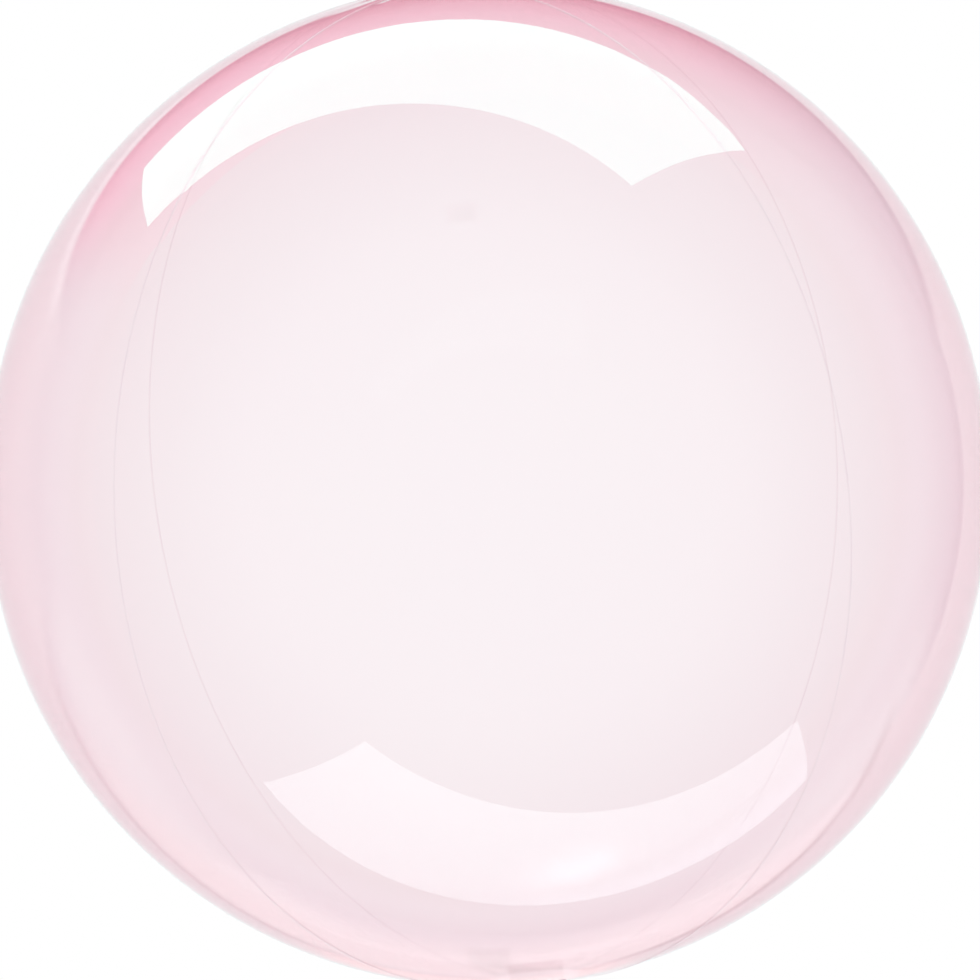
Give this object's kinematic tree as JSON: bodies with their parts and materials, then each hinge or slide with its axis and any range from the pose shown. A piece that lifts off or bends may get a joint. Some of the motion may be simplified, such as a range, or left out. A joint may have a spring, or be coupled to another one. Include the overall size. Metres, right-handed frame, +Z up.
{
  "type": "clear bubble balloon",
  "caption": "Clear film balloon inflated to a tight ball, with thin weld seams from crown to neck and a flat self-sealing filling tail, lying on its side.",
  "frame": {"origin": "middle of the small flat spot that the balloon lies on", "axes": "+Z up from the flat spot; +Y level along the balloon's axis, from the filling tail to the crown"},
  "size_m": [0.4996, 0.5751, 0.4966],
  "materials": {
    "film": "thin clear film with a pale pink tint, smooth and glossy on both faces",
    "tail": "the same pale pink film in several layers, pressed flat and welded, glossy"
  },
  "bodies": {
    "root": {"film_envelope": "film", "filling_tail": "tail"}
  },
  "joints": []
}
